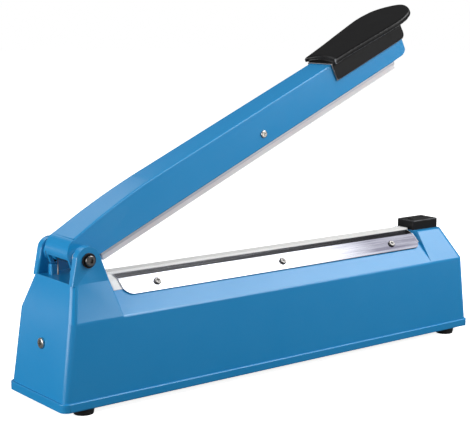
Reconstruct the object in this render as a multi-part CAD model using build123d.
from build123d import *
import math
import os

# Hand impulse heat sealer, 300 mm class, free-standing on four rubber feet.
# X runs along the length from the hinge end (-X) to the handle end (+X), Y runs from the front
# (-Y) to the control side (+Y), Z is up. The origin is the centre of the footprint on the plane
# of the feet. Every size is in millimetres. The model is written with the sealing arm open.

# ---- casing ----
base_length = 413.0
base_width = 80.0
foot_height = 5.0
rim_height = 6.3
rim_step = 1.0
crease_height = 61.6
crease_half_width = base_width / 2 - 3.0
hinge_deck_height = 87.2
hinge_deck_half_width = 27.7
switch_deck_height = 85.3
switch_deck_half_width = 15.0
wall = 2.6
corner_radius = 5.0
hinge_end_taper = (1.0, 9.0, 16.2)
switch_end_taper = (1.0, 7.0, 11.0)
hinge_block_length = 53.0
hinge_block_lean = 6.3
switch_block_length = 46.3
switch_block_lean = 4.3

# ---- sealing ridge ----
knee_half_width = 12.0
knee_height = 82.7
flank_slope = 18.0
trough_half_width = 8.2
trough_depth = 7.4
heater_bar_half_width = 8.0
ridge_half_width = 4.9
ridge_height = 86.6
tape_thickness = 0.25
wire_width = 3.0
wire_thickness = 0.25
cloth_thickness = 0.3
cloth_side_reach = 19.5
cover_plate_thickness = 0.8
cover_plate_reach = 24.0
cover_plate_corner = 8.0
cover_screw_half_spacing = 17.9
cover_screw_end_distance = 31.0
fit_gap = 0.2
side_gap = 0.4

# ---- hinge and arm ----
pivot_setback = 29.5
pivot_height = 103.6
ear_radius = 9.8
ear_thickness = 5.9
ear_boss_height = 1.9
pivot_radius = 3.0
bush_radius = 4.2
running_gap = 0.05
open_angle = 24.0
closing_gap = 0.3
arm_end_setback = 32.5
arm_wall = 2.4
arm_half_width = 16.0
arm_top_half_width = 13.3
arm_top_height = 20.5
arm_lower_edge = -7.0
arm_boss_half_width = 16.2
stop_gap = 0.2

# ---- press bar ----
bar_half_width = 8.5
bar_lip = 0.6
silicone_thickness = 4.6
silicone_inset = 0.6
bar_start = 20.0
bar_end_gap = 1.5

# ---- handle ----
handle_length = 81.0
handle_wall = 1.8
handle_skirt_height = 14.0
handle_fit = 0.15
paddle_half_width = 26.0
paddle_thickness = 4.2
paddle_tilt = 1.6

# ---- controls ----
knob_radius = 12.5
knob_height = 13.0
knob_from_end = 113.0
control_height = 36.0
gland_bore_radius = 3.6
switch_cover_length = 30.0
switch_cover_half_width = 10.0
switch_cover_height = 8.3
plunger_radius = 2.5
plunger_travel = 2.0
plunger_stand_out = 0.8
screw_radius = 1.5

# ---- places worked out from the sizes above ----
left_end = -base_length / 2
right_end = base_length / 2
shell_bottom = foot_height
crease_z = shell_bottom + crease_height
hinge_deck_z = shell_bottom + hinge_deck_height
switch_deck_z = shell_bottom + switch_deck_height
knee_z = shell_bottom + knee_height
hinge_notch_x = left_end + hinge_block_length
switch_notch_x = right_end - switch_block_length
switch_deck_x = switch_notch_x + switch_block_lean
pivot_x = left_end + pivot_setback
pivot_z = shell_bottom + pivot_height
ridge_z = shell_bottom + ridge_height
tape_top_z = ridge_z + tape_thickness
wire_top_z = tape_top_z + wire_thickness
seal_top_z = wire_top_z + cloth_thickness
arm_end = right_end - arm_end_setback - pivot_x
bar_end = switch_deck_x - bar_end_gap - pivot_x
silicone_bottom = seal_top_z + closing_gap - pivot_z
facet_angle = math.degrees(math.atan2(knee_z - crease_z, crease_half_width - knee_half_width))
lip_height = 1.8


def write(name, *shapes):
    """Write one node: its separate solids go into one file under the node's name."""
    solids = []
    for shape in shapes:
        solids.extend(shape.solids())
    result = solids[0] if len(solids) == 1 else Compound(children=solids)
    result.label = name
    export_step(result, f"parts/{name}.step")


def block(x0, x1, y0, y1, z0, z1):
    """Box between two corners."""
    place = Pos((x0 + x1) / 2, (y0 + y1) / 2, (z0 + z1) / 2)
    return place * Box(abs(x1 - x0), abs(y1 - y0), abs(z1 - z0))


def rod_z(x, y, z0, z1, radius):
    """Upright cylinder."""
    return Pos(x, y, (z0 + z1) / 2) * Cylinder(radius, abs(z1 - z0))


def rod_y(x, y0, y1, z, radius):
    """Cylinder along Y."""
    return Pos(x, (y0 + y1) / 2, z) * Rot(90, 0, 0) * Cylinder(radius, abs(y1 - y0))


def rod_x(x0, x1, y, z, radius):
    """Cylinder along X."""
    return Pos((x0 + x1) / 2, y, z) * Rot(0, 90, 0) * Cylinder(radius, abs(x1 - x0))


def hex_y(x, y0, y1, z, across_flats):
    """Hexagon prism along Y."""
    outline = RegularPolygon(across_flats / math.sqrt(3), 6)
    return Pos(x, y0, z) * Rot(-90, 0, 0) * extrude(outline, y1 - y0)


def prism_x(points, x0, x1):
    """Extrude an outline of (y, z) points along X."""
    outline = make_face(Polyline(*[(x0, y, z) for y, z in points], close=True))
    return extrude(outline, x1 - x0, dir=(1, 0, 0))


def prism_y(face_xz, half_width):
    """Extrude a face drawn in the XZ plane both ways along Y."""
    return extrude(face_xz, half_width, dir=(0, 1, 0), both=True)


def plan_wire(x0, x1, half_width, z, radius):
    """Rounded rectangle seen from above, at height z."""
    outline = Pos((x0 + x1) / 2, 0, z) * RectangleRounded(x1 - x0, 2 * half_width, radius)
    return outline.face().outer_wire()


def plan_loft(lower, upper):
    """Straight-sided solid between two rounded rectangles, each (x0, x1, half_width, z, radius)."""
    return Solid.make_loft([plan_wire(*lower), plan_wire(*upper)], ruled=True)


def mirror_y(points):
    """Complete a half outline of (y, z) points, from +Y to -Y."""
    return points + [(-y, z) for y, z in reversed(points)]


def slope_points(offset, reach, tip):
    """Line of the sloping top at a distance above the shell: lower end, knee and upper tip."""
    facet = math.radians(facet_angle)
    flank = math.radians(flank_slope)
    normals = (math.sin(facet) + math.sin(flank), math.cos(facet) + math.cos(flank))
    mitre = offset / (1 + math.cos(facet - flank))
    knee = (knee_half_width + mitre * normals[0], knee_z + mitre * normals[1])
    low = (reach, knee[1] - (reach - knee[0]) * math.tan(facet))
    high = (tip, knee[1] + (knee[0] - tip) * math.tan(flank))
    return [low, knee, high]


def sheet_outline(bottom, top, reach, tip):
    """Closed outline of a sheet that lies on the slope between two distances above it."""
    low = slope_points(bottom, reach, tip)
    facet = math.radians(facet_angle)
    high = slope_points(top, reach + (top - bottom) * math.sin(facet), tip)
    return low + high[::-1]


def on_slope(x, side, half_spacing, height):
    """Placement on the sloping facet with its Z axis square to the facet."""
    z = slope_points(0, half_spacing, 0)[0][1]
    tilt = 90 - facet_angle
    lean = side * -(90 - tilt)
    return Pos(x, side * half_spacing, z) * Rot(lean, 0, 0) * Pos(0, 0, height)


# ---------------------------------------------------------------- casing
def casing_body(inset):
    """Casing without its details; the inset makes the smaller form that hollows it."""
    radius = corner_radius - inset / 2
    low_left = left_end + hinge_end_taper[0] + inset
    low_right = right_end - switch_end_taper[0] - inset
    mid_left = left_end + hinge_end_taper[1] + inset
    mid_right = right_end - switch_end_taper[1] - inset
    low_half = base_width / 2 - rim_step - inset
    mid_half = crease_half_width - inset
    bottom = shell_bottom - (1 if inset else 0)
    waist = (mid_left, mid_right, mid_half, crease_z, radius)
    body = plan_loft((low_left, low_right, low_half, bottom, radius), waist)
    top_left = left_end + hinge_end_taper[2] + inset
    top_right = right_end - switch_end_taper[2] - inset
    hinge_top = (top_left, top_right, hinge_deck_half_width - inset, hinge_deck_z - inset, radius)
    switch_top = (top_left, top_right, switch_deck_half_width - inset, switch_deck_z - inset, radius)
    hinge_keep = make_face(Polyline(
        (left_end - 10, 0, crease_z - 1),
        (hinge_notch_x - inset, 0, crease_z - 1),
        (hinge_notch_x - inset, 0, crease_z),
        (hinge_notch_x - hinge_block_lean - inset, 0, hinge_deck_z),
        (left_end - 10, 0, hinge_deck_z), close=True))
    body += plan_loft(waist, hinge_top) & prism_y(hinge_keep, base_width)
    switch_keep = make_face(Polyline(
        (right_end + 10, 0, crease_z - 1),
        (switch_notch_x + inset, 0, crease_z - 1),
        (switch_notch_x + inset, 0, crease_z),
        (switch_deck_x + inset, 0, switch_deck_z),
        (right_end + 10, 0, switch_deck_z), close=True))
    body += plan_loft(waist, switch_top) & prism_y(switch_keep, base_width)
    low, knee, high = slope_points(-inset, mid_half, trough_half_width)
    ridge = mirror_y([(mid_half, crease_z - 1), low, knee, high])
    x0 = hinge_notch_x - hinge_block_lean - inset - 1
    x1 = switch_deck_x + inset + 1
    return body + prism_x(ridge, x0, x1)


def tangent_point(x, z, side):
    """Point where a straight ear edge from (x, z) meets the round top of the ear."""
    dx = x - pivot_x
    dz = z - pivot_z
    distance = math.hypot(dx, dz)
    turn = math.acos(ear_radius / distance) * side
    bearing = math.atan2(dz, dx) + turn
    return pivot_x + ear_radius * math.cos(bearing), pivot_z + ear_radius * math.sin(bearing)


def ears():
    """The two hinge ears that stand on the hinge deck, with a round boss inside each."""
    foot_left = left_end + hinge_end_taper[2]
    foot_right = hinge_notch_x - hinge_block_lean
    left = tangent_point(foot_left, hinge_deck_z, -1)
    right = tangent_point(foot_right, hinge_deck_z, 1)
    outline = make_face(Polyline(
        (foot_left, 0, hinge_deck_z - 1), (foot_right, 0, hinge_deck_z - 1), (foot_right, 0, hinge_deck_z),
        (right[0], 0, right[1]), (pivot_x, 0, pivot_z), (left[0], 0, left[1]),
        (foot_left, 0, hinge_deck_z), close=True))
    plate = prism_y(outline, hinge_deck_half_width)
    inner = hinge_deck_half_width - ear_thickness
    plate += rod_y(pivot_x, -hinge_deck_half_width, hinge_deck_half_width, pivot_z, ear_radius)
    plate -= block(left_end, hinge_notch_x, -inner, inner, hinge_deck_z - 2, pivot_z + 2 * ear_radius)
    for side in (-1, 1):
        plate += rod_y(pivot_x, side * (inner - ear_boss_height), side * (inner + 1), pivot_z, 7.8)
    return plate


# tail of the arm side wall, as a circle about (tail_u, tail_v) in the arm's own frame
tail_u = -5.5
tail_v = -3.0
tail_radius = 3.5
stop_half_length = 3.0
opening = math.radians(open_angle)
tail_rest_x = pivot_x + tail_u * math.cos(opening) - tail_v * math.sin(opening)
tail_rest_z = pivot_z + tail_u * math.sin(opening) + tail_v * math.cos(opening) - tail_radius

post_x = base_length / 2 - 21.5
post_y = base_width / 2 - 9.0
plate_bottom_z = shell_bottom
plate_thickness = 1.5
plate_top_z = plate_bottom_z + plate_thickness
post_spots = [(sx * post_x, sy * post_y) for sx in (-1, 1) for sy in (-1, 1)]
post_height = 16.0
trough_floor_z = ridge_z - trough_depth - 2.7
plates_x0 = hinge_notch_x + 10.0
plates_x1 = switch_notch_x + 0.3
cloth_x0 = hinge_notch_x + 2.0
cloth_x1 = switch_notch_x + 2.0
bar_x0 = hinge_notch_x + 2.2
bar_x1 = switch_notch_x + 1.9
cover_screw_x = [
    plates_x0 + cover_screw_end_distance,
    (plates_x0 + plates_x1) / 2,
    plates_x1 - cover_screw_end_distance]
bar_screw_x = [bar_x0 + 60.0, bar_x1 - 60.0]
knob_x = right_end - knob_from_end
control_z = shell_bottom + control_height
lamp_x = knob_x - 34.0
gland_x = left_end + 36.0
gland_z = shell_bottom + 17.0
board_y = 20.0
board_thickness = 1.6
board_x0 = knob_x - 52.0
board_x1 = knob_x + 20.0
board_z0 = control_z - 22.0
board_z1 = control_z + 20.0
board_spots = [(x, z) for x in (board_x0 + 4, board_x1 - 4) for z in (board_z0 + 4, board_z1 - 4)]
dial_face_y = base_width / 2 - 1.2
end_screw_z = shell_bottom + 41.8
plunger_x = switch_deck_x + 6.5
cover_x0 = switch_deck_x + 0.2
switch_x0 = switch_deck_x + 1.2
cover_x1 = cover_x0 + switch_cover_length
cover_top_z = switch_deck_z + switch_cover_height
cover_wall = 1.6
cover_screw_place = (cover_x1 - 6.0, 3.6)
bracket_y = 3.4
bracket_flange = 8.4
bracket_screw_y = bracket_y + 5.4
bracket_screw_x = [switch_x0 + 6.0, switch_x0 + 17.5]
terminal_x = [bar_x0 - tape_thickness, bar_x1 + tape_thickness]


def wall_x_at(z):
    """Outer face of the hinge end wall at height z, on the lower body."""
    share = (z - shell_bottom) / crease_height
    return left_end + hinge_end_taper[0] + share * (hinge_end_taper[1] - hinge_end_taper[0])


end_face_x = wall_x_at(end_screw_z)


def make_base_shell():
    """Moulded casing: hollow body, rim, ears, open stops, posts, bosses and every hole."""
    outer = casing_body(0)
    half = base_width / 2
    rim = plan_loft(
        (left_end, right_end, half, shell_bottom, corner_radius + 1),
        (left_end, right_end, half, shell_bottom + rim_height, corner_radius + 1))
    rim = fillet(rim.faces().sort_by(Axis.Z)[-1].edges(), 0.8)
    outer += rim
    hollow = casing_body(wall)
    trough_side = trough_half_width + wall
    trough_x0 = bar_x0 - 1.6
    trough_x1 = bar_x1 + 1.6
    floor_low = trough_floor_z - wall
    keep = block(trough_x0 - wall, trough_x1 + wall, -trough_side, trough_side, floor_low, ridge_z)
    shell = outer - (hollow - keep)
    shell -= block(trough_x0, trough_x1, -trough_half_width, trough_half_width, trough_floor_z, ridge_z)
    for x, direction in ((bar_x0, -1), (bar_x1, 1)):
        shell -= block(x, x + direction * 1.4, -2.5, 2.5, trough_floor_z - 2 * wall, trough_floor_z + 1)
    shell += ears()
    for side in (-1, 1):
        stop_y0 = side * (arm_half_width - arm_wall - 1.0)
        stop_y1 = side * (arm_half_width + 0.5)
        shell += block(tail_rest_x - stop_half_length, tail_rest_x + stop_half_length, stop_y0, stop_y1,
                       hinge_deck_z - 1, tail_rest_z - stop_gap)
    for x, y in post_spots:
        shell += rod_z(x, y, plate_top_z, plate_top_z + post_height, 6.0)
        shell -= rod_z(x, y, plate_top_z - 1, plate_top_z + post_height - 3, 2.0)
    for side in (-1, 1):
        for x in cover_screw_x:
            spot = on_slope(x, side, cover_screw_half_spacing, 0)
            shell += spot * Pos(0, 0, -4.5) * Cylinder(3.4, 8.0)
            shell -= spot * Pos(0, 0, -3.5) * Cylinder(screw_radius, 9.0)
    for x in bar_screw_x:
        shell -= rod_z(x, 0, trough_floor_z - 2 * wall, trough_floor_z + 1, screw_radius + 0.1)
    for x in terminal_x:
        side = -1 if x < 0 else 1
        shell -= rod_z(x - side * 5.0, 0, trough_floor_z - 2 * wall, trough_floor_z - 0.6, 1.2)
    shell -= rod_y(pivot_x, -half, half, pivot_z, bush_radius)
    shell += rod_y(knob_x, dial_face_y - 3.6, dial_face_y, control_z, 16.0)
    shell -= rod_y(knob_x, board_y, half + 1, control_z, 3.7)
    shell += rod_y(lamp_x, dial_face_y - 3.6, dial_face_y, control_z, 7.0)
    shell -= rod_y(lamp_x, board_y, half + 1, control_z, 4.0)
    for x, z in board_spots:
        shell += rod_y(x, board_y + board_thickness, dial_face_y - 2.0, z, 3.0)
        shell -= rod_y(x, board_y, board_y + 9.0, z, 1.2)
    shell += rod_y(gland_x, dial_face_y - 3.6, dial_face_y, gland_z, 9.0)
    shell -= rod_y(gland_x, board_y, half + 1, gland_z, gland_bore_radius + 2.4)
    shell -= rod_x(end_face_x - 5, end_face_x + 0.6, 0, end_screw_z, 4.6)
    shell -= rod_x(end_face_x - 5, end_face_x + 3 * wall, 0, end_screw_z, 2.0)
    deck = switch_deck_z
    shell -= rod_z(plunger_x, 0, deck - 2 * wall, deck + 1, plunger_radius + 0.1)
    shell -= rod_z(*cover_screw_place, deck - 2 * wall, deck + 1, 1.2)
    for x in bracket_screw_x:
        shell -= rod_z(x, bracket_screw_y, deck - 2 * wall, deck - 0.6, 1.2)
    return shell


# ---------------------------------------------------------------- floor, feet and fasteners
def pan_screw(radius, length, head_radius, head_height):
    """Pan-head screw along -Z with the underside of its head at z = 0 and a cross slot."""
    screw = Pos(0, 0, head_height / 2) * Cylinder(head_radius, head_height)
    screw = fillet(screw.edges().sort_by(Axis.Z)[-1], head_height * 0.45)
    screw += Pos(0, 0, -length / 2) * Cylinder(radius, length)
    slot_depth = head_height * 0.5
    slot = Pos(0, 0, head_height - slot_depth / 2)
    screw -= slot * Box(head_radius * 1.1, head_radius * 0.28, slot_depth)
    screw -= slot * Box(head_radius * 0.28, head_radius * 1.1, slot_depth)
    return screw


def make_bottom_plate():
    """Folded steel floor of the casing, with holes for the foot and transformer screws."""
    half = base_width / 2 - rim_step - wall - side_gap
    x0 = left_end + hinge_end_taper[0] + wall + side_gap
    x1 = right_end - switch_end_taper[0] - wall - side_gap
    radius = corner_radius - wall / 2
    plate = plan_loft((x0, x1, half, plate_bottom_z, radius), (x0, x1, half, plate_top_z, radius))
    for x, y in post_spots:
        plate -= rod_z(x, y, plate_bottom_z - 1, plate_top_z + 1, 2.2)
    for x in strap_screw_x:
        plate -= rod_z(x, 0, plate_bottom_z - 1, plate_top_z + 1, 2.0)
    for index in range(8):
        x = slot_x0 + index * 9.0
        plate -= block(x, x + 3.0, -14.0, 14.0, plate_bottom_z - 1, plate_top_z + 1)
    return plate


def make_foot(x, y):
    """Round rubber foot with a sunk hole for its screw."""
    foot = Pos(x, y, plate_bottom_z / 2) * Cone(7.2, 8.2, plate_bottom_z)
    foot -= rod_z(x, y, -1, 2.6, 4.2)
    return foot - rod_z(x, y, 0, plate_bottom_z + 1, 2.1)


def make_foot_screw(x, y):
    """Screw from below, through foot and floor into the casing post."""
    return Pos(x, y, 2.6) * Rot(180, 0, 0) * pan_screw(2.0, plate_top_z - 2.6 + 10.0, 3.8, 1.8)


# ---------------------------------------------------------------- heater
def make_heater_bar():
    """Aluminium bar with a narrow raised ridge, seated in the trough of the casing."""
    shoulder = slope_points(0, knee_half_width, heater_bar_half_width)[2][1]
    edge = shoulder + (heater_bar_half_width - ridge_half_width) * math.tan(math.radians(flank_slope))
    outline = mirror_y([
        (heater_bar_half_width, trough_floor_z), (heater_bar_half_width, shoulder),
        (ridge_half_width, edge), (ridge_half_width, ridge_z)])
    bar = prism_x(outline, bar_x0, bar_x1)
    for x in bar_screw_x:
        bar -= rod_z(x, 0, trough_floor_z - 1, trough_floor_z + 6, screw_radius)
    return bar


def bent_strip(half_width, layer_bottom, layer_top, end_offset, leg_bottom):
    """Strip that lies along the ridge and turns down over both ends of the heater bar."""
    thickness = layer_top - layer_bottom
    x0 = bar_x0 - end_offset - thickness
    x1 = bar_x1 + end_offset + thickness
    strip = block(x0, x1, -half_width, half_width, layer_bottom, layer_top)
    strip += block(x0, x0 + thickness, -half_width, half_width, leg_bottom, layer_top)
    return strip + block(x1 - thickness, x1, -half_width, half_width, leg_bottom, layer_top)


terminal_top_z = trough_floor_z - wall - 2.0
terminal_size = 8.0


def make_heating_wire():
    """Flat resistance ribbon, holed at each end for its terminal screw."""
    leg_bottom = terminal_top_z - terminal_size
    wire = bent_strip(wire_width / 2, tape_top_z, wire_top_z, tape_thickness, leg_bottom)
    centre = terminal_top_z - terminal_size / 2
    return wire - rod_x(bar_x0 - 5, bar_x1 + 5, 0, centre, 1.1)


def make_ptfe_cloth():
    """Glass-fibre PTFE cloth over the ridge, tucked under both cover plates."""
    ridge_side = ridge_half_width + cloth_thickness
    inner = slope_points(0, cloth_side_reach, ridge_half_width)
    facet = math.radians(facet_angle)
    reach = cloth_side_reach + cloth_thickness * math.sin(facet)
    outer = slope_points(cloth_thickness, reach, ridge_side)
    outline = mirror_y(outer + [(ridge_side, seal_top_z)])
    under = [(-y, z) for y, z in inner + [(ridge_half_width, wire_top_z)]]
    outline = outline + under + [(-y, z) for y, z in reversed(under)]
    cloth = prism_x(outline, cloth_x0, cloth_x1)
    for side in (-1, 1):
        for x in cover_screw_x:
            cloth -= on_slope(x, side, cover_screw_half_spacing, 0) * Cylinder(screw_radius + 0.1, 6)
    return cloth


def make_cover_plate(side):
    """Brushed aluminium plate with a bent upper flange that clamps one side of the cloth."""
    tip = ridge_half_width + cloth_thickness + fit_gap
    outline = sheet_outline(cloth_thickness, cloth_thickness + cover_plate_thickness, cover_plate_reach, tip)
    plate = prism_x([(side * y, z) for y, z in outline], plates_x0, plates_x1)
    low_z = min(z for y, z in outline)
    short = [e for e in plate.edges() if e.length < 1.01 * cover_plate_thickness]
    corners = [e for e in short if e.center().Z < low_z + 1.2]
    plate = fillet(corners, cover_plate_corner)
    for x in cover_screw_x:
        plate -= on_slope(x, side, cover_screw_half_spacing, 0) * Cylinder(screw_radius + 0.1, 6)
    return plate


def make_cover_screw(x, side):
    """Screw square to the facet, its head on the cover plate."""
    height = cloth_thickness + cover_plate_thickness
    return on_slope(x, side, cover_screw_half_spacing, height) * pan_screw(screw_radius, 7.5, 2.9, 1.5)


def make_bar_screw(x):
    """Screw from inside the casing into the heater bar."""
    head_z = trough_floor_z - wall
    return Pos(x, 0, head_z) * Rot(180, 0, 0) * pan_screw(screw_radius, wall + 5.0, 2.9, 1.5)


def make_terminal(x):
    """Brass block, its insulator, its mounting screw and the screw that clamps the ribbon."""
    side = -1 if x < 0 else 1
    top = terminal_top_z
    bottom = top - terminal_size
    middle = (top + bottom) / 2
    stud_x = x - side * 5.0
    floor = trough_floor_z - wall
    brass = block(x, x - side * terminal_size, -5.0, 5.0, bottom, top)
    brass -= rod_x(x + side, x - side * (terminal_size + 1), 0, middle, 1.1)
    insulator = block(x - side * 0.6, x - side * 9.6, -8.0, 8.0, top, floor)
    insulator -= rod_z(stud_x, 0, top - 1, floor + 1, 1.3)
    brass -= rod_z(stud_x, 0, middle + 1.6, top + 1, 1.2)
    stud = rod_z(stud_x, 0, middle + 1.6, floor + 1.9, 1.2)
    seat = Pos(x + side * wire_thickness, 0, middle) * Rot(0, side * 90, 0)
    clamp = seat * pan_screw(1.1, 6.0, 2.3, 1.3)
    return brass, insulator, stud, clamp


# ---------------------------------------------------------------- transformer
core_width = 70.0
core_height = 56.0
core_half_depth = 16.0
core_leg = core_width / 6
core_x = left_end + 125.0
strap_thickness = 1.2
strap_half_width = 9.0
strap_screw_x = [core_x - core_width / 2 - 9.0, core_x + core_width / 2 + 9.0]
slot_x0 = core_x + core_width / 2 + 22.0


def make_core():
    """Laminated core: closed frame with a middle leg twice as wide as the outer ones."""
    z0 = plate_top_z
    x0 = core_x - core_width / 2
    core = block(x0, x0 + core_width, -core_half_depth, core_half_depth, z0, z0 + core_height)
    for side in (-1, 1):
        x0 = core_x + side * core_leg
        core -= block(x0, x0 + side * core_leg, -50, 50, z0 + core_leg, z0 + core_height - core_leg)
    return core


def ring(half_x, half_y, z0, z1, inner_x, inner_y):
    """Rectangular ring round the middle leg of the core."""
    outer = block(core_x - half_x, core_x + half_x, -half_y, half_y, z0, z1)
    return outer - block(core_x - inner_x, core_x + inner_x, -inner_y, inner_y, z0 - 1, z1 + 1)


def make_coils():
    """Bobbin with three flanges; primary in the lower bay, secondary in the upper bay."""
    z0 = plate_top_z + core_leg + 0.3
    z1 = plate_top_z + core_height - core_leg - 0.3
    middle = z0 + (z1 - z0) * 0.62
    leg_x = core_leg + 0.2
    leg_y = core_half_depth + 0.2
    coil = core_leg - 0.8
    bobbin = ring(leg_x + 1.0, leg_y + 1.0, z0, z1, leg_x, leg_y)
    for z in (z0, middle - 0.5, z1 - 1.0):
        bobbin += ring(leg_x + coil, leg_y + coil, z, z + 1.0, leg_x, leg_y)
    grow = coil - 1.0
    primary = ring(leg_x + grow, leg_y + grow, z0 + 1.1, middle - 0.6, leg_x + 1.1, leg_y + 1.1)
    secondary = ring(leg_x + grow - 0.8, leg_y + grow - 0.8, middle + 0.6, z1 - 1.1, leg_x + 1.1, leg_y + 1.1)
    return bobbin, primary, secondary


def make_strap():
    """Steel strap over the core, with a screwed tab on the floor at each end."""
    inner = core_width / 2 + 0.1
    outer = inner + strap_thickness
    top = plate_top_z + core_height + 0.1
    outline = [
        (-inner - 15, plate_top_z), (-inner, plate_top_z), (-inner, top), (inner, top), (inner, plate_top_z),
        (inner + 15, plate_top_z), (inner + 15, plate_top_z + strap_thickness),
        (outer, plate_top_z + strap_thickness), (outer, top + strap_thickness),
        (-outer, top + strap_thickness), (-outer, plate_top_z + strap_thickness),
        (-inner - 15, plate_top_z + strap_thickness)]
    face = make_face(Polyline(*[(core_x + x, 0, z) for x, z in outline], close=True))
    strap = prism_y(face, strap_half_width)
    for x in strap_screw_x:
        strap -= rod_z(x, 0, plate_top_z - 1, plate_top_z + 3, 2.1)
    return strap


def make_strap_screw(x):
    """Screw through a strap tab into the floor."""
    length = strap_thickness + plate_thickness
    return Pos(x, 0, plate_top_z + strap_thickness) * pan_screw(2.0, length, 3.6, 2.0)


# ---------------------------------------------------------------- timer
def make_board():
    """Timer circuit board, upright behind the control side."""
    board = block(board_x0, board_x1, board_y, board_y + board_thickness, board_z0, board_z1)
    for x, z in board_spots:
        board -= rod_y(x, board_y - 1, board_y + 3, z, 1.4)
    return board


def make_board_screw(x, z):
    """Screw through the board into its boss."""
    return Pos(x, board_y, z) * Rot(90, 0, 0) * pan_screw(1.2, 7.0, 2.4, 1.3)


def make_potentiometer():
    """Rotary timer control: body on the board and a threaded bush through the wall."""
    front = board_y + board_thickness
    body = rod_y(knob_x, front, front + 9.5, control_z, 8.0)
    body += rod_y(knob_x, front + 9.4, dial_face_y + 3.6, control_z, 3.5)
    return body - rod_y(knob_x, front + 3.0, dial_face_y + 5.0, control_z, 2.0 + running_gap)


def make_knob_shaft():
    """Shaft of the timer control, with a flat for the knob."""
    shaft = rod_y(knob_x, board_y + board_thickness + 3.2, dial_face_y + 11.0, control_z, 2.0)
    y0 = dial_face_y + 5.0
    flat = block(knob_x + 1.3, knob_x + 3, y0, y0 + 7.0, control_z - 3, control_z + 3)
    return shaft - flat


def make_knob():
    """Fluted timer knob with a hollow that clears the nut."""
    front = dial_face_y + 0.6
    knob = rod_y(knob_x, front, front + knob_height, control_z, knob_radius)
    knob = chamfer(knob.faces().sort_by(Axis.Y)[-1].edges(), 1.2)
    for index in range(18):
        turn = math.radians(index * 20.0)
        x = knob_x + (knob_radius + 0.5) * math.cos(turn)
        z = control_z + (knob_radius + 0.5) * math.sin(turn)
        knob -= rod_y(x, front + 2.5, front + knob_height + 1, z, 1.1)
    knob -= rod_y(knob_x, front - 1, front + 4.6, control_z, 7.5)
    face = front + knob_height
    knob -= block(knob_x - 0.5, knob_x + 0.5, face - 0.6, face + 1, control_z + 3, control_z + 10)
    socket = rod_y(knob_x, front + 4, dial_face_y + 11.2, control_z, 2.0)
    socket -= block(knob_x + 1.3, knob_x + 3, front + 3, dial_face_y + 12, control_z - 3, control_z + 3)
    return knob - socket


# ---------------------------------------------------------------- end switch
switch_body_top = switch_deck_z - wall - 6.0
switch_body_height = 10.0
lever_pivot_x = switch_x0 + 19.5
lever_pivot_z = switch_body_top + 0.9
lever_reach = lever_pivot_x - plunger_x
lever_angle = math.degrees(math.asin(plunger_travel / lever_reach))
lever_thickness = 0.5
lever_rise = (lever_reach + plunger_radius) * math.tan(math.radians(lever_angle))
lever_top_z = lever_pivot_z + lever_rise + 1.1 * lever_thickness
plunger_bottom_z = lever_top_z + 0.15
plunger_top_z = cover_top_z + plunger_stand_out


def make_switch_cover():
    """Black cover on the switch deck, hollow below, with holes for plunger and screw."""
    half = switch_cover_half_width
    cover = block(cover_x0, cover_x1, -half, half, switch_deck_z, cover_top_z)
    cover = fillet(cover.edges().filter_by(Axis.Z), 1.2)
    cover = chamfer(cover.faces().sort_by(Axis.Z)[-1].edges(), 0.6)
    hollow = block(cover_x0 + cover_wall, cover_x1 - cover_wall, -half + cover_wall, half - cover_wall,
                   switch_deck_z - 1, cover_top_z - cover_wall)
    x, y = cover_screw_place
    cover -= hollow - rod_z(x, y, switch_deck_z - 1, cover_top_z, 2.9)
    cover -= rod_z(x, y, cover_top_z - 2.0, cover_top_z + 1, 2.4)
    cover -= rod_z(x, y, switch_deck_z - 1, cover_top_z, 1.3)
    return cover - rod_z(plunger_x, 0, cover_top_z - 3, cover_top_z + 1, plunger_radius + 0.1)


def make_plunger():
    """Button pressed by the end of the closed arm, with a collar that keeps it in the cover."""
    plunger = rod_z(plunger_x, 0, plunger_bottom_z, plunger_top_z, plunger_radius)
    plunger = fillet(plunger.edges().sort_by(Axis.Z)[-1], 0.5)
    collar_top = cover_top_z - cover_wall - 0.1
    return plunger + rod_z(plunger_x, 0, collar_top - 1.3, collar_top, 3.5)


def make_plunger_spring():
    """Envelope of the small return coil between the deck and the collar."""
    top = cover_top_z - cover_wall - 1.5
    tube = rod_z(plunger_x, 0, switch_deck_z, top, 3.5)
    return tube - rod_z(plunger_x, 0, switch_deck_z - 1, top + 1, plunger_radius + 0.2)


def make_microswitch():
    """Snap-action switch body with its pivot lugs and terminals."""
    top = switch_body_top
    x0 = switch_x0 + 1.0
    x1 = x0 + 20.0
    body = block(x0, x1, -bracket_y, bracket_y, top - switch_body_height, top)
    body += rod_z(plunger_x + 3.4, 0, top - 1, top + 0.3, 0.9)
    for index in range(3):
        x = x0 + 3.0 + index * 7.0
        body += block(x, x + 0.6, -1.2, 1.2, top - switch_body_height - 5.0, top - switch_body_height)
    for x in switch_screw_x:
        body -= rod_y(x, -10, 10, switch_screw_z, 1.1)
    return body


switch_screw_x = [switch_x0 + 6.2, switch_x0 + 15.7]
switch_screw_z = switch_body_top - 6.5


def make_lever():
    """Spring-steel lever of the switch, standing up at its free end until the plunger presses it."""
    arm_length = lever_reach + 1.5
    strip = Pos(-arm_length / 2, 0, lever_thickness / 2) * Box(arm_length, 4.0, lever_thickness)
    strip += Pos(0, 0, 0.2) * Rot(90, 0, 0) * Cylinder(0.6, 5.0)
    return Pos(lever_pivot_x, 0, lever_pivot_z) * Rot(0, lever_angle, 0) * strip


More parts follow.
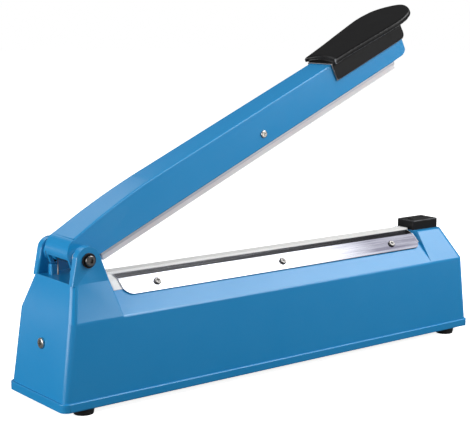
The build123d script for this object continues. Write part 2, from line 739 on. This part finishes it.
def make_bracket():
    """Angle bracket that hangs the switch under the deck."""
    x0 = switch_x0 + 1.5
    x1 = x0 + 20.5
    under_deck = switch_deck_z - wall
    bracket = block(x0, x1, bracket_y, bracket_y + 1.2, switch_body_top - switch_body_height, under_deck)
    bracket += block(x0, x1, bracket_y, bracket_y + bracket_flange, under_deck - 1.2, under_deck)
    for x in bracket_screw_x:
        bracket -= rod_z(x, bracket_screw_y, under_deck - 3, under_deck + 1, 1.3)
    for x in switch_screw_x:
        bracket -= rod_y(x, 0, 10, switch_screw_z, 1.1)
    return bracket


# ---------------------------------------------------------------- arm, in its own closed frame
def arm_section(u, low_half, top_half, low, top):
    """Cross-section of the arm at distance u from the pivot."""
    points = [(u, -low_half, low), (u, low_half, low), (u, top_half, top), (u, -top_half, top)]
    return Wire(Polyline(*points, close=True).edges())


def arm_loft(inset):
    """Tapering length of the arm; the inset makes the smaller form that hollows it."""
    low = -20.0
    top = arm_top_height + 4.0
    sections = []
    for u, low_half, top_half in (
            (tail_u - 8.0, arm_half_width, arm_half_width - 0.6),
            (70.0, arm_half_width, arm_top_half_width),
            (arm_end + 2.0, arm_half_width - 0.6, arm_top_half_width - 0.4)):
        slope = (low_half - top_half) / (arm_top_height - arm_lower_edge)
        wide = low_half + slope * (arm_lower_edge - low) - inset
        narrow = top_half - slope * (top - arm_top_height) - inset
        sections.append(arm_section(u, wide, narrow, low, top))
    return Solid.make_loft(sections, ruled=True)


def side_face(edges):
    """Face in the XZ plane from joined edges."""
    return make_face(Wire(edges))


def uv(u, v):
    """Point of the arm's side view."""
    return (u, 0, v)


nose_u = tail_u - tail_radius
crown_u = 77.0


def arm_profile():
    """Side view of the arm: round tail and nose, rising top, cut-back lower corner at the end."""
    end = arm_end
    low = arm_lower_edge
    tail_low = tail_v - tail_radius
    lines = [
        ThreePointArc(uv(nose_u, tail_v), uv(tail_u - tail_radius * 0.7071, tail_v - tail_radius * 0.7071),
                      uv(tail_u, tail_low)),
        Line(uv(tail_u, tail_low), uv(end - 20.0, low)),
        Line(uv(end - 20.0, low), uv(end - 8.0, low + 0.8)),
        ThreePointArc(uv(end - 8.0, low + 0.8), uv(end - 3.2, low + 2.2), uv(end - 0.6, low + 5.2)),
        Line(uv(end - 0.6, low + 5.2), uv(end, arm_top_height)),
        Line(uv(end, arm_top_height), uv(crown_u, arm_top_height)),
        ThreePointArc(uv(crown_u, arm_top_height), uv(38.0, 18.4), uv(2.0, 14.2)),
        ThreePointArc(uv(2.0, 14.2), uv(-5.4, 10.6), uv(nose_u + 0.4, 5.0)),
        Line(uv(nose_u + 0.4, 5.0), uv(nose_u, tail_v))]
    return side_face(lines)


def arm_hollow():
    """Side view of the hollow, open below."""
    end = arm_end - arm_wall
    top = arm_top_height - arm_wall
    left = nose_u + 0.4 + arm_wall
    lines = [
        Line(uv(left, -30.0), uv(left, 5.2)),
        ThreePointArc(uv(left, 5.2), uv(-3.6, 9.0), uv(2.4, 11.8)),
        ThreePointArc(uv(2.4, 11.8), uv(38.2, 16.0), uv(crown_u, top)),
        Line(uv(crown_u, top), uv(end, top)),
        Line(uv(end, top), uv(end, -30.0)),
        Line(uv(end, -30.0), uv(left, -30.0))]
    return side_face(lines)


bar_screw_u = [bar_start + 45.0, bar_end - 62.0]
handle_screw_u = [arm_end - 62.0, arm_end - 22.0]
cross_u = 185.0 * arm_end / 351.0
cross_v = 2.3
cross_radius = 2.0
spot_face_y = 14.3
bar_base_top = silicone_bottom + silicone_thickness + 1.8
bar_base_low = silicone_bottom + silicone_thickness
pusher_bottom = plunger_top_z + closing_gap - pivot_z
pusher_u0 = plunger_x - pivot_x - plunger_radius - 1.5


def make_arm_shell():
    """Moulded arm: hollow channel with pivot bosses, screw bosses and the rib that meets the plunger."""
    arm = arm_loft(0) & prism_y(arm_profile(), 30)
    hollow = arm_loft(arm_wall) & prism_y(arm_hollow(), 30)
    arm -= hollow
    inner_half = arm_half_width - arm_wall - 0.2
    arm -= block(nose_u - 3, nose_u + 3, -inner_half, inner_half, -20, lip_height)
    boss_inner = arm_half_width - 2 * arm_wall - 1.2
    for side in (-1, 1):
        arm += rod_y(0, side * boss_inner, side * arm_boss_half_width, 0, 6.4)
    top = arm_top_height - arm_wall / 2
    for u in bar_screw_u:
        arm += rod_z(u, 0, bar_base_top, top, 3.4)
        arm -= rod_z(u, 0, bar_base_top - 1, top - 6, screw_radius)
    for u in handle_screw_u:
        arm -= rod_z(u, 0, 0, arm_top_height + 1, screw_radius + 0.1)
    arm += block(pusher_u0, arm_end - 1.2, -4.0, 4.0, pusher_bottom, top)
    arm -= rod_y(0, -30, 30, 0, pivot_radius + running_gap)
    arm -= rod_y(cross_u, -30, 30, cross_v, cross_radius + 0.1)
    for side in (-1, 1):
        arm -= rod_y(cross_u, side * spot_face_y, side * 30, cross_v, 3.4)
    return arm


def make_press_bar():
    """Aluminium channel that holds the silicone strip under the arm."""
    half = bar_half_width
    lip_bottom = bar_base_low - silicone_inset
    flange = 6.6
    outline = mirror_y([
        (half - bar_lip, bar_base_low), (half - bar_lip, lip_bottom), (half, lip_bottom),
        (half, cross_v + 3.6), (flange, cross_v + 3.6), (flange, bar_base_top)])
    bar = prism_x(outline, bar_start, bar_end)
    bar -= rod_y(cross_u, -30, 30, cross_v, cross_radius + 0.1)
    for u in bar_screw_u:
        bar -= rod_z(u, 0, bar_base_low - 1, bar_base_top + 1, screw_radius + 0.1)
    return bar


def make_silicone_strip():
    """Soft strip that presses the bag on the heated ridge, pocketed over the bar screws."""
    half = bar_half_width - bar_lip
    strip = block(bar_start, bar_end, -half, half, silicone_bottom, bar_base_low)
    for u in bar_screw_u:
        strip -= rod_z(u, 0, bar_base_low - 1.6, bar_base_low + 1, 3.2)
    return strip


def make_cross_screw():
    """Long screw through both arm walls and the press bar, with its nut and two spacers."""
    seat = Pos(cross_u, -spot_face_y, cross_v) * Rot(90, 0, 0)
    screw = seat * pan_screw(cross_radius, 2 * spot_face_y + 2.6, 2.9, 1.6)
    nut = hex_y(cross_u, spot_face_y, spot_face_y + 2.4, cross_v, 5.5)
    nut -= rod_y(cross_u, 0, 30, cross_v, cross_radius)
    spacers = []
    for side in (-1, 1):
        tube = rod_y(cross_u, side * (bar_half_width + 0.1), side * 11.9, cross_v, 3.4)
        spacers.append(tube - rod_y(cross_u, -30, 30, cross_v, cross_radius + 0.1))
    return screw, nut, spacers


def paddle_outline(z):
    """Plan view of the paddle: hollowed rear edge, widening sides and a round tip."""
    half = paddle_half_width
    start = arm_end - handle_length + 1.0
    shoulder = start + 81.0
    tip = shoulder + 21.5
    lines = [
        ThreePointArc((start, -19.0, z), (start + 5.5, 0, z), (start, 19.0, z)),
        Spline((start, 19.0, z), (start + 30, half - 4.4, z), (start + 60, half - 0.6, z),
               (shoulder - 6, half, z), (shoulder + 9, half - 5.2, z), (tip - 4.5, half - 14, z),
               (tip, 0, z), (tip - 4.5, 14 - half, z), (shoulder + 9, 5.2 - half, z),
               (shoulder - 6, -half, z), (start + 60, 0.6 - half, z), (start + 30, 4.4 - half, z),
               (start, -19.0, z))]
    return make_face(Wire(lines))


def make_handle():
    """Black handle: skirt that caps the end of the arm, and a paddle for the palm."""
    start = arm_end - handle_length
    stop = arm_end + handle_fit + handle_wall
    low = arm_top_height - handle_skirt_height
    top = arm_top_height + 1.0
    grow = handle_fit + handle_wall
    skirt = arm_loft(-grow) & block(start, stop, -40, 40, low, top)
    along_y = skirt.edges().filter_by(Axis.Y)
    outer_corner = [e for e in along_y if e.center().X > stop - 1 and e.center().Z < low + 1]
    skirt = fillet(outer_corner, 4.0)
    inside = arm_loft(-handle_fit)
    skirt -= inside & block(start - 5, arm_end + handle_fit, -40, 40, -30, arm_top_height + handle_fit)
    paddle = extrude(paddle_outline(0), paddle_thickness, dir=(0, 0, 1))
    rim = paddle.faces().sort_by(Axis.Z)[-1].edges()
    paddle = fillet(rim, 1.5)
    paddle = Pos(start, 0, arm_top_height + handle_fit) * Rot(0, -paddle_tilt, 0) * Pos(-start, 0, 0) * paddle
    handle = skirt + paddle
    handle -= inside & block(start - 5, arm_end + handle_fit, -40, 40, -30, arm_top_height + handle_fit)
    for u in handle_screw_u:
        handle -= rod_z(u, 0, 0, arm_top_height + 3.6, screw_radius)
    return handle


def arm_place(shape):
    """Put an arm piece, drawn closed about the pivot, at its open rest position."""
    return Pos(pivot_x, 0, pivot_z) * Rot(0, -open_angle, 0) * shape


# ---------------------------------------------------------------- hinge pieces
def make_pivot_pieces():
    """Bolt, nut, flanged bushes in the ears, washers beside the arm and the spring envelope."""
    outer = hinge_deck_half_width
    head_y = outer + 1.2
    bolt = rod_y(pivot_x, -head_y, head_y + 5.5, pivot_z, pivot_radius)
    head = rod_y(pivot_x, -head_y - 2.2, -head_y, pivot_z, 3.9)
    head = fillet(head.faces().sort_by(Axis.Y)[0].edges(), 0.8)
    head -= rod_y(pivot_x, -head_y - 3, -head_y - 0.9, pivot_z, 1.9)
    bolt += head
    nut = hex_y(pivot_x, head_y, head_y + 4.6, pivot_z, 8.0)
    nut -= rod_y(pivot_x, 0, 60, pivot_z, pivot_radius)
    bushes = []
    washers = []
    inner = outer - ear_thickness - ear_boss_height
    for side in (-1, 1):
        bush = rod_y(pivot_x, side * inner, side * outer, pivot_z, bush_radius)
        bush += rod_y(pivot_x, side * outer, side * head_y, pivot_z, 5.4)
        bushes.append(bush - rod_y(pivot_x, -60, 60, pivot_z, pivot_radius))
        washer = rod_y(pivot_x, side * (arm_boss_half_width + running_gap), side * inner, pivot_z, 6.4)
        washers.append(washer - rod_y(pivot_x, -60, 60, pivot_z, pivot_radius))
    coil_half = arm_half_width - 2 * arm_wall - 1.2 - 0.6
    coil = rod_y(pivot_x, -coil_half, coil_half, pivot_z, 5.4)
    coil += rod_z(pivot_x - 4.4, coil_half - 1.0, hinge_deck_z, pivot_z, 0.8)
    coil -= rod_y(pivot_x, -60, 60, pivot_z, pivot_radius + 0.4)
    return bolt, nut, bushes, washers, coil


def make_gland():
    """Strain relief of the mains cord, without its cord: flanged sleeve with a bore."""
    outer = gland_bore_radius + 2.4
    gland = rod_y(gland_x, dial_face_y - 14.0, dial_face_y, gland_z, outer - 0.1)
    gland += rod_y(gland_x, dial_face_y, dial_face_y + 3.0, gland_z, outer + 2.0)
    gland += rod_y(gland_x, dial_face_y + 2.9, dial_face_y + 12.0, gland_z, outer - 0.8)
    return gland - rod_y(gland_x, 0, 80, gland_z, gland_bore_radius)


def make_lamp():
    """Indicator lens through the rear wall and the lamp body behind it."""
    lens = rod_y(lamp_x, dial_face_y - 4.0, dial_face_y, control_z, 3.9)
    lens += rod_y(lamp_x, dial_face_y, dial_face_y + 1.6, control_z, 5.2)
    lens = fillet(lens.faces().sort_by(Axis.Y)[-1].edges(), 0.9)
    body = rod_y(lamp_x, board_y + board_thickness, dial_face_y - 4.0, control_z, 3.6)
    return lens, body


def make_end_screw_pieces():
    """Screw in the hinge end wall, with the nut that holds the inner cord clamp."""
    seat = end_face_x + 0.6
    screw = Pos(seat, 0, end_screw_z) * Rot(0, -90, 0) * pan_screw(2.0, 13.0, 4.0, 2.2)
    clamp_x = end_face_x + wall + 0.9
    clamp = block(clamp_x, clamp_x + 1.2, -8.0, 8.0, end_screw_z - 14.0, end_screw_z + 6.0)
    clamp += block(clamp_x, clamp_x + 12.0, -8.0, 8.0, end_screw_z - 15.2, end_screw_z - 14.0)
    clamp -= rod_x(clamp_x - 2, clamp_x + 3, 0, end_screw_z, 2.1)
    nut = Pos(clamp_x + 1.2, 0, end_screw_z) * Rot(0, 90, 0) * extrude(RegularPolygon(4.0, 6), 3.2)
    nut -= rod_x(clamp_x - 3, clamp_x + 9, 0, end_screw_z, 2.0)
    return screw, clamp, nut


os.makedirs("parts", exist_ok=True)

write("base_shell", make_base_shell())
write("bottom_plate", make_bottom_plate())
write("rubber_feet", *[make_foot(x, y) for x, y in post_spots])
write("foot_screws", *[make_foot_screw(x, y) for x, y in post_spots])

write("heater_bar", make_heater_bar())
write("heater_bar_screws", *[make_bar_screw(x) for x in bar_screw_x])
write("insulating_tape", bent_strip(ridge_half_width - 0.4, ridge_z, tape_top_z, 0, trough_floor_z + 2))
write("heating_wire", make_heating_wire())
write("ptfe_cloth", make_ptfe_cloth())
write("front_cover_plate", make_cover_plate(-1))
write("rear_cover_plate", make_cover_plate(1))
write("cover_plate_screws", *[make_cover_screw(x, side) for side in (-1, 1) for x in cover_screw_x])
terminals = [make_terminal(x) for x in terminal_x]
write("wire_terminals", *[pieces[0] for pieces in terminals])
write("terminal_insulators", *[pieces[1] for pieces in terminals])
write("terminal_studs", *[pieces[2] for pieces in terminals])
write("terminal_clamp_screws", *[pieces[3] for pieces in terminals])

write("transformer_core", make_core())
bobbin, primary, secondary = make_coils()
write("transformer_bobbin", bobbin)
write("primary_winding", primary)
write("secondary_winding", secondary)
write("transformer_strap", make_strap())
write("strap_screws", *[make_strap_screw(x) for x in strap_screw_x])

write("timer_board", make_board())
write("timer_board_screws", *[make_board_screw(x, z) for x, z in board_spots])
write("timer_potentiometer", make_potentiometer())
pot_nut = hex_y(knob_x, dial_face_y, dial_face_y + 2.4, control_z, 11.0)
write("potentiometer_nut", pot_nut - rod_y(knob_x, 0, 80, control_z, 3.5))
write("relay", block(board_x0 + 8, board_x0 + 27, board_y - 15.5, board_y, board_z0 + 9, board_z0 + 24))
write("timer_capacitor", rod_y(board_x0 + 36, board_y - 12.0, board_y, board_z0 + 15, 5.0))
write("knob_shaft", make_knob_shaft())
write("timer_knob", make_knob())
lamp_lens, lamp_body = make_lamp()
write("indicator_lens", lamp_lens)
write("indicator_lamp", lamp_body)
write("cord_gland", make_gland())

write("switch_cover", make_switch_cover())
cover_screw_seat = Pos(*cover_screw_place, cover_top_z - 2.0)
write("switch_cover_screw", cover_screw_seat * pan_screw(1.2, switch_cover_height - 2.0 + wall, 2.2, 1.3))
write("switch_plunger", make_plunger())
write("plunger_spring", make_plunger_spring())
write("microswitch_body", make_microswitch())
write("microswitch_lever", make_lever())
write("switch_bracket", make_bracket())
under_deck_z = switch_deck_z - wall
write("bracket_screws", *[
    Pos(x, bracket_screw_y, under_deck_z - 1.2) * Rot(180, 0, 0) * pan_screw(1.2, 3.0, 2.3, 1.3)
    for x in bracket_screw_x])
write("microswitch_screws", *[
    Pos(x, -bracket_y, switch_screw_z) * Rot(90, 0, 0) * pan_screw(1.1, 2 * bracket_y + 1.2, 2.0, 1.2)
    for x in switch_screw_x])

pivot_bolt, pivot_nut, pivot_bushes, pivot_washers, return_spring = make_pivot_pieces()
write("pivot_bolt", pivot_bolt)
write("pivot_nut", pivot_nut)
write("ear_bushes", *pivot_bushes)
write("pivot_washers", *pivot_washers)
write("return_spring", return_spring)
end_screw, cord_clamp, end_nut = make_end_screw_pieces()
write("end_wall_screw", end_screw)
write("cord_clamp", cord_clamp)
write("end_wall_nut", end_nut)

write("arm_shell", arm_place(make_arm_shell()))
write("press_bar", arm_place(make_press_bar()))
write("press_bar_screws", *[
    arm_place(Pos(u, 0, bar_base_low) * Rot(180, 0, 0) * pan_screw(screw_radius, 12.0, 2.9, 1.4))
    for u in bar_screw_u])
write("silicone_strip", arm_place(make_silicone_strip()))
cross_screw, cross_nut, cross_spacers = make_cross_screw()
write("cross_screw", arm_place(cross_screw))
write("cross_screw_nut", arm_place(cross_nut))
write("bar_spacers", *[arm_place(tube) for tube in cross_spacers])
write("handle_grip", arm_place(make_handle()))
write("handle_screws", *[
    arm_place(Pos(u, 0, arm_top_height - arm_wall) * Rot(180, 0, 0) * pan_screw(screw_radius, 5.6, 2.9, 1.5))
    for u in handle_screw_u])

print("pivot", round(pivot_x, 3), round(pivot_z, 3))
print("lever", round(lever_pivot_x, 3), round(lever_pivot_z, 3))
print("lever angle", round(lever_angle, 3), "silicone bottom", round(silicone_bottom, 3))
